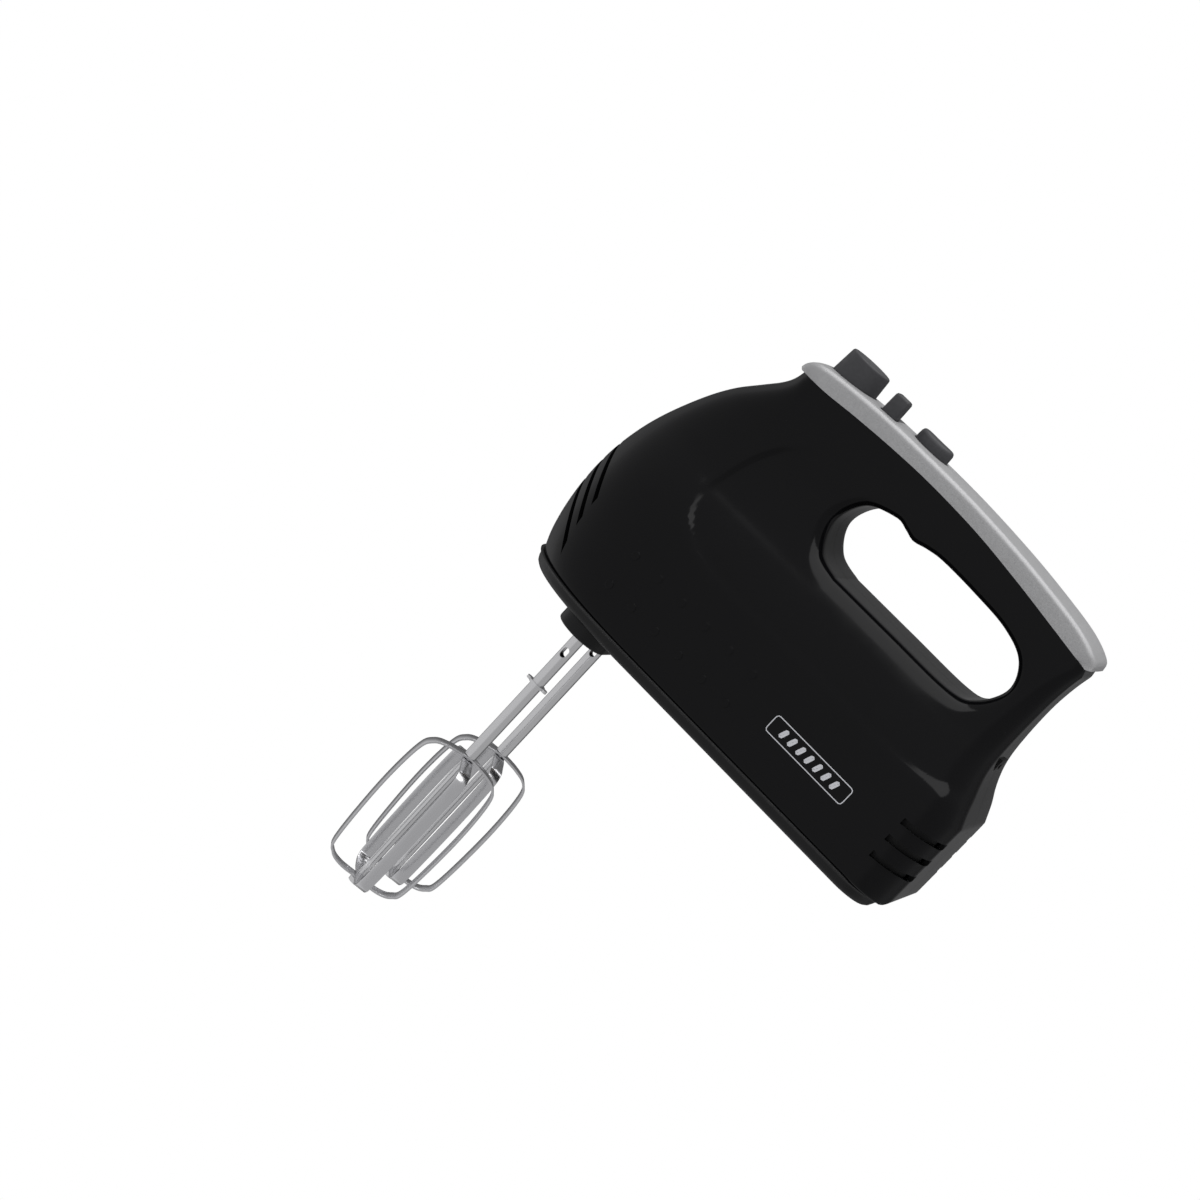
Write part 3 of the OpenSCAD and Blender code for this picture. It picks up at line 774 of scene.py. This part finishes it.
# ---------- top cover ----------
def strip_solid(name, inset, first, last):
    """Crowned body between the seam and the crown, moved inwards by inset.

    first and last are stations, out of STATIONS, at which it starts and ends.
    """
    nose_start, nose_round = 13.5, 9.0
    heel_end, heel_round = 183.0, 7.0
    end_share = 0.72
    seam = resample(spline(SEAM), STATIONS)
    crown = resample(spline(CROWN), STATIONS)
    rings = []
    for i in range(first, last):
        (sx, sz), (tx, tz) = seam[i], crown[i]
        along_up = np.array([tx - sx, tz - sz])
        high = np.linalg.norm(along_up)
        along_up /= high
        # the ends are a little narrower, with round corners in plan
        ends = min(quarter((tx - nose_start) / nose_round), quarter((heel_end - tx) / heel_round))
        w = (GRIP_W - 0.02) * (end_share + (1 - end_share) * ends) - inset
        top = high - inset
        c = min(3.2, top * 0.6)
        side = [(w, -inset), (w, 0.4 * (top - c)), (w, top - c)]
        for k in range(1, 9):
            a = 0.5 * math.pi * k / 8
            side.append((w - c + c * math.cos(a), top - c + 0.82 * c * math.sin(a)))
        flat, shoulder = side[-1]
        for k in range(1, 6):
            t = k / 6
            side.append((flat * (1 - t), shoulder + (top - shoulder) * (1 - (1 - t) ** 2)))
        ring = [(-y, h) for y, h in side] + [(0.0, top)] + side[::-1]
        rings.append(np.array([(sx + along_up[0] * h, y, sz + along_up[1] * h) for y, h in ring]))
    return loft(name, rings, 50)


def make_top_cover():
    """Silver strip over the handle, hollow underneath, with an opening for each control."""
    low, high = 120, 160
    obj = strip_solid("top_strip", 0.0, 1, STATIONS)
    cut(obj, [
        strip_solid("hollow", 2.0, 6, STATIONS - 6),
        lathe("hole", [(0, low), (10.9, low), (10.9, high), (0, high)], (EJECT_X, 0, 0), 64),
        bar("hole", (SLIDER_X - 4.3, -11, low), (SLIDER_X + 4.3, 11, high), 1.5),
        stadium("hole", TURBO_X, 2, 6.8, [(0, low), (0, high)]),
    ])
    shade(obj, 50)
    return obj


def rect(x, y, hx, hy, r, steps=6):
    """Rectangle about (x, y) with half sizes hx and hy and corners of radius r."""
    pts = []
    for cx, cy, a0 in ((hx - r, hy - r, 0), (r - hx, hy - r, 90), (r - hx, r - hy, 180),
                       (hx - r, r - hy, 270)):
        for k in range(steps + 1):
            a = math.radians(a0 + 90 * k / steps)
            pts.append((x + cx + r * math.cos(a), y + cy + r * math.sin(a)))
    return np.array(pts)


def bar(name, low, high, radius):
    """Upright bar between two corners, with round vertical edges."""
    x0, y0, z0 = low
    x1, y1, z1 = high
    plan = rect((x0 + x1) / 2, (y0 + y1) / 2, (x1 - x0) / 2, (y1 - y0) / 2, radius, 5)
    return loft(name, [ring_of(plan, z0), ring_of(plan, z1)])


def stadium_outline(x, half, r, steps=24):
    """Plan outline of two half circles joined along x, their centres half either side of x."""
    a = np.linspace(-math.pi / 2, math.pi / 2, steps)
    front = np.column_stack([x + half + r * np.cos(a), r * np.sin(a)])
    back = np.column_stack([x - half - r * np.cos(a), -r * np.sin(a)])
    return np.concatenate([front, back])


def stadium(name, x, half, r, profile):
    """Lofted stadium; profile is (growth, height)."""
    return loft(name, [ring_of(stadium_outline(x, half, r + g), z) for g, z in profile])


# ---------- controls ----------
def make_eject_cap():
    """Round cap with a slightly hollow top and a flange at its foot."""
    side = rounded([(0, 130.6), (11.3, 130.6), (11.3, 132.6), (10.5, 132.7), (10.4, 138.8),
                    (9.5, 150.2), (6.6, 149.6)], 1.3, 6)
    top = [(r, 148.8 + 0.75 * (r / 6.6) ** 2) for r in np.linspace(6.5, 0, 10)]
    return lathe("eject_cap_skin", [tuple(p) for p in side] + top, (EJECT_X, 0, 0), 96, sharp=50)


def make_slider():
    """Tall tab with a hollowed top, on its carriage."""
    x, y = SLIDER_X, SLIDER_REST_Y
    top_z = 150.0
    tab = []
    for grow, z in ((0, 134), (0, 137), (-0.05, 140), (-0.15, 145), (-0.25, top_z - 1),
                    (-0.6, top_z - 0.2), (-1.1, top_z)):
        tab.append(ring_of(rect(x, y, 3.7 + grow, 4.0 + grow, 1.2), z))
    for k in range(1, 6):
        s = 1 - k / 6
        tab.append(ring_of(rect(x, y, 2.6 * s + 0.02, 2.9 * s + 0.02, 0.9 * s + 0.01),
                           top_z - 0.9 * math.sin(0.5 * math.pi * k / 5)))
    top = loft("tab", tab, 50)
    plate = bar("plate", (x - 6.5, y - 6, 134.7), (x + 6.5, y + 6, 136.6), 0.8)
    peg = bar("peg", (x - 1.5, y - 1.5, 126), (x + 1.5, y + 1.5, 134.8), 0.3)
    return join("speed_tab", [top, plate, peg])


def make_turbo_cap():
    """Low oval button, hollowed along its length."""
    prof = [(1.3, 134.6), (1.3, 136.4), (1.1, 136.6), (0.0, 136.7), (0.0, 143), (-0.15, 145.4),
            (-0.5, 146.3), (-1.0, 146.8), (-1.6, 147.0)]
    rings = [ring_of(stadium_outline(TURBO_X, 2, 6.3 + g), z) for g, z in prof]
    for k in range(1, 9):
        s = 1 - k / 9
        o = stadium_outline(TURBO_X, 2 * s + 0.01, 4.7 * s + 0.02)
        rings.append(ring_of(o, 147.0))
    out = []
    for r in rings:
        z = r[:, 2].copy()
        lift = 0.007 * (r[:, 0] - TURBO_X) ** 2 - 0.5
        z = np.where(z > 140, z + lift * np.clip((z - 140) / 6, 0, 1), z)
        out.append(np.column_stack([r[:, :2], z]))
    cap = loft("cap", out, 50)
    stem = lathe("stem", [(0, 129), (2, 129), (2, 135), (0, 135)], (TURBO_X, 0, 0), 24)
    return join("turbo_cap_skin", [cap, stem])


# ---------- beaters ----------
def loop_path(drop, steps=10):
    """Closed centre line of a cage strip as (radius, height), from the hub round and back."""
    top, low = CAGE_TOP - 0.5, CAGE_LOW + 0.5
    key = [(0, top - drop), (9.4, top - 1.4 - drop), (15.6, top - 4), (18.7, top - 10.5),
           (CAGE_R - 0.5, top - 32), (CAGE_R - 1.9, low + 8.5), (15.6, low + 2.3),
           (9.6, low + drop), (0, low + drop)]
    right = spline(key, steps)
    left = right[::-1].copy()
    left[:, 0] *= -1
    return np.concatenate([right, left[1:-1]])


def make_loop(name, y, turn, drop):
    """One cage strip of the beater at y, its arms turned by turn degrees about the beater."""
    path = loop_path(drop)
    n = len(path)
    tangent = np.roll(path, -1, axis=0) - np.roll(path, 1, axis=0)
    tangent /= np.linalg.norm(tangent, axis=1, keepdims=True)
    normal = np.column_stack([-tangent[:, 1], tangent[:, 0]])
    half_t, half_w, edge = STRIP_T / 2, STRIP_W / 2, 0.28
    sec = []
    for sx, sy in ((1, 1), (-1, 1), (-1, -1), (1, -1)):
        for a in ((0, 45, 90) if sx * sy > 0 else (90, 45, 0)):
            r = math.radians(a)
            sec.append((sx * (half_t - edge + edge * math.cos(r)),
                        sy * (half_w - edge + edge * math.sin(r))))
    verts = []
    c, s = math.cos(math.radians(turn)), math.sin(math.radians(turn))
    for p, nn in zip(path, normal):
        # the strip is a little narrower where it passes the hub and the tip
        hub = 1 - 0.12 * float(smooth(1 - abs(p[0]) / 6))
        for t, w in sec:
            q = p + nn * t
            verts.append((BEATER_X + q[0] * c - w * hub * s, y + q[0] * s + w * hub * c, q[1]))
    return add(name, verts, grid_faces(n, len(sec), wrap_rows=True, wrap_cols=True), 30)


def spring_copy(node):
    """A copy of a coil spring from the frame, fixed to the body; the frame's own is hidden."""
    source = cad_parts[node]
    mesh = source.data.copy()
    mesh.transform(source.matrix_world)
    obj = bpy.data.objects.new(node + "_coil", mesh)
    bpy.context.scene.collection.objects.link(obj)
    finish_piece(obj, "zinc", "body", [node])
    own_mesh(obj)


# ---------- printed mark ----------
def flank_ribbon(path, width, lift=0.07):
    """Flat closed ribbon laid on the left flank along a closed path of (x, z) points."""
    path = np.asarray(path, float)
    ahead = np.roll(path, -1, axis=0) - np.roll(path, 1, axis=0)
    ahead /= np.linalg.norm(ahead, axis=1, keepdims=True)
    off = np.column_stack([-ahead[:, 1], ahead[:, 0]]) * width / 2
    rows = []
    for shift, high in ((off, -0.3), (off, lift), (-off, lift), (-off, -0.3)):
        q = path + shift
        rows.append(np.column_stack([q[:, 0], -(half_width(q[:, 0], q[:, 1]) + high), q[:, 1]]))
    return np.concatenate(rows), grid_faces(4, len(path), wrap_rows=True, wrap_cols=True)


def even_loop(outline, step=1.0):
    """Closed outline with points at about even distances."""
    closed = np.vstack([outline, outline[:1]])
    length = np.linalg.norm(np.diff(closed, axis=0), axis=1).sum()
    return resample(closed, int(length / step) + 1)[:-1]


def make_mark():
    """Plain outlined plate with slanted bars on the left flank."""
    cx, cz = 128.8, 28.4
    bars, bar_step, slant = 7, 4.6, 0.35
    outlines = [(even_loop(rect(cx, cz, 20.6, 3.9, 1.2)), 0.38)]
    for k in range(bars):
        bar_x = cx + bar_step * (k - bars // 2)
        bar_outline = rect(bar_x, cz, 0.5, 1.7, 0.3)
        bar_outline[:, 0] += slant * (bar_outline[:, 1] - cz)
        outlines.append((even_loop(bar_outline, 0.6), 1.05))
    parts = [add("ring", *flank_ribbon(o, w), 60) for o, w in outlines]
    return join("flank_plate", parts)


def make_slot_lips(side):
    """A thin raised lip along the lower edge of each heel slot."""
    half_length, middle_x = 7.3, 179.0
    parts = []
    for i in range(SLOT_ROWS):
        loop = even_loop(rect(0, 0, half_length, 0.16, 0.1), 0.5)
        loop[:, 1] += (HEEL_SLOT_Z - 0.15 + HEEL_SLOT_STEP * i
                       + (loop[:, 0] + half_length) * math.tan(HEEL_SLOT_RISE))
        loop[:, 0] += middle_x
        verts, faces = flank_ribbon(loop, 0.3, 0.22)
        verts[:, 1] *= -side
        parts.append(add("lip", verts, faces, 60))
    return join("slot_lips_left" if side < 0 else "slot_lips_right", parts)


# ---------- assemble ----------
left = finish_piece(housing_half(-1), "gloss_black", "body", ["left_housing"])
right = finish_piece(housing_half(1), "gloss_black", "body", ["right_housing"])
for side in (-1, 1):
    finish_piece(side_dimples(side), "gloss_black", "body", [])
finish_piece(make_mark(), "print", "body", [])
for side in (-1, 1):
    finish_piece(make_louvre(side), "liner", "body", [])
    finish_piece(make_slot_lips(side), "gloss_black", "body", [])
finish_piece(make_base_cover(), "satin_black", "body", ["base_cover"])
finish_piece(make_top_cover(), "silver", "body", ["top_cover"])
finish_piece(make_eject_cap(), "grey", "eject_button", ["eject_cap"])
finish_piece(make_slider(), "grey", "speed_slider", ["slider_tab"])
finish_piece(make_turbo_cap(), "grey", "turbo_button", ["turbo_cap"])
spring_copy("eject_spring")
spring_copy("turbo_spring")
for side, word in ((-1, "left"), (1, "right")):
    y = side * BEATER_Y
    body = word + "_beater"
    outer_loop = make_loop(word + "_outer_strip", y, ARM_TURN, 0)
    inner_loop = make_loop(word + "_inner_strip", y, ARM_TURN + 90, INNER_DROP)
    finish_piece(outer_loop, "strip", body, [word + "_outer_loop"])
    finish_piece(inner_loop, "strip", body, [word + "_inner_loop"])


# ---------- studio ----------
def area_light(name, at, target, size, power):
    data = bpy.data.lights.new(name, "AREA")
    data.shape = "RECTANGLE"
    data.size, data.size_y = size
    data.energy = power
    obj = bpy.data.objects.new(name, data)
    obj.location = at
    obj.rotation_euler = (Vector(target) - Vector(at)).to_track_quat("-Z", "Y").to_euler()
    bpy.context.scene.collection.objects.link(obj)


def make_camera():
    """The photograph's view: from the left of the heel, 12 degrees above the mixer's flank.

    Returns the point that the camera looks at.
    """
    turn, rise, roll = math.radians(13.41), math.radians(11.8), math.radians(42.8)
    back = direction((math.sin(turn) * math.cos(rise), -math.cos(turn) * math.cos(rise),
                      math.sin(rise)))
    r = direction((math.cos(turn), math.sin(turn), 0))
    u = back.cross(r)
    right = math.cos(roll) * r + math.sin(roll) * u
    up = back.cross(right)
    distance = 1.2343
    target = in_frame((16.34, 0, 5.1))
    cam = bpy.data.cameras.new("camera")
    cam.lens = 91.53
    cam.sensor_width = 36
    cam.clip_end = 20
    obj = bpy.data.objects.new("camera", cam)
    basis = Matrix((right, up, back)).transposed().to_4x4()
    basis.translation = target + back * distance
    obj.matrix_world = basis
    bpy.context.scene.collection.objects.link(obj)
    bpy.context.scene.camera = obj
    return target


def make_world():
    """White to the camera; to the mixer a pale room, darker towards the worktop and behind."""
    world = bpy.data.worlds.new("studio")
    bpy.context.scene.world = world
    world.use_nodes = True
    tree = world.node_tree
    tree.nodes.clear()

    def node(kind):
        return tree.nodes.new("ShaderNode" + kind)

    out, mix, path = node("OutputWorld"), node("MixShader"), node("LightPath")
    room, white = node("Background"), node("Background")
    coord, split, strength = node("TexCoord"), node("SeparateXYZ"), node("Math")
    down, behind = node("MapRange"), node("MapRange")
    room.inputs["Color"].default_value = (1, 1, 1.01, 1)
    white.inputs["Color"].default_value = (1, 1, 1, 1)
    white.inputs["Strength"].default_value = 1.0
    for ramp, values in ((down, (-0.4, -0.1, 0.46, 0.62)), (behind, (0.35, 0.8, 1.0, 0.22))):
        for key, value in zip(("From Min", "From Max", "To Min", "To Max"), values):
            ramp.inputs[key].default_value = value
    strength.operation = "MULTIPLY"
    tree.links.new(coord.outputs["Generated"], split.inputs[0])
    tree.links.new(split.outputs["Z"], down.inputs["Value"])
    tree.links.new(split.outputs["Y"], behind.inputs["Value"])
    tree.links.new(down.outputs[0], strength.inputs[0])
    tree.links.new(behind.outputs[0], strength.inputs[1])
    tree.links.new(strength.outputs[0], room.inputs["Strength"])
    tree.links.new(path.outputs["Is Camera Ray"], mix.inputs[0])
    tree.links.new(room.outputs[0], mix.inputs[1])
    tree.links.new(white.outputs[0], mix.inputs[2])
    tree.links.new(mix.outputs[0], out.inputs[0])


def make_floor():
    """Pale floor, well below the heel so that the view from the side keeps its white ground."""
    floor_z, half = -0.5, 2.5
    data = bpy.data.meshes.new("floor")
    data.from_pydata([(-half, -half, floor_z), (half, -half, floor_z), (half, half, floor_z),
                      (-half, half, floor_z)], [], [(0, 1, 2, 3)])
    obj = bpy.data.objects.new("floor", data)
    bpy.context.scene.collection.objects.link(obj)
    shader = Shader("floor_paper", (0.9, 0.9, 0.9), 0.7)
    shader.tint(shader.noise(3), (0.88, 0.88, 0.88), (0.92, 0.92, 0.92))
    obj.data.materials.append(shader.mat)
    obj.visible_glossy = False


target = make_camera()
make_world()
make_floor()
bpy.context.scene.view_settings.view_transform = "Standard"
over = direction((0, 0, 1))
area_light("overhead", target + over * 1.2, target, size=(1.6, 1.2), power=13)
